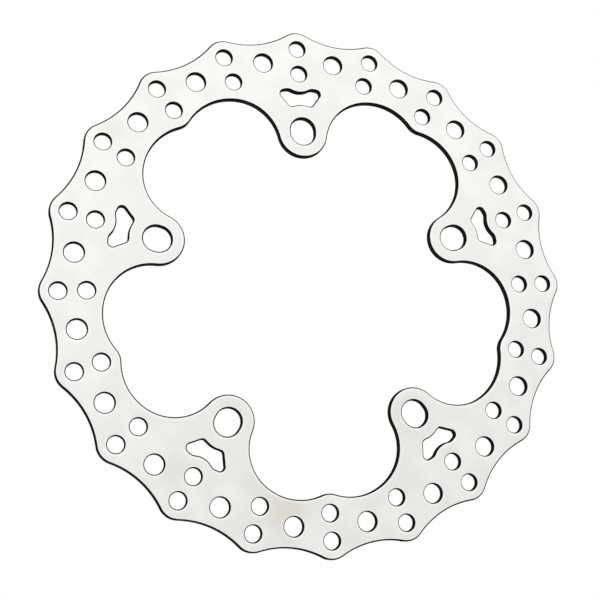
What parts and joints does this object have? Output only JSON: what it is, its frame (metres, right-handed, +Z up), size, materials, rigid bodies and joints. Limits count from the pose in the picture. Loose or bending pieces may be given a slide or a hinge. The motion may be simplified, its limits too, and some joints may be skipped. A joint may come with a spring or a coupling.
{
  "type": "brake disc",
  "caption": "Flat waved brake disc with drilled cooling holes, a scalloped open middle and inward lugs with bolt slots.",
  "frame": {"origin": "centre of the disc, on the axle line and in the middle of the sheet's thickness", "axes": "+Y along the axle from the outer face towards the wheel hub, +Z up through the top lug, +X to the right as the outer face is looked at"},
  "size_m": [0.2982, 0.004, 0.2982],
  "materials": {
    "ground_steel": "finely ground stainless faces with faint clouding, dark laser-cut edges"
  },
  "bodies": {
    "root": {"brake_disc": "ground_steel"}
  },
  "joints": []
}
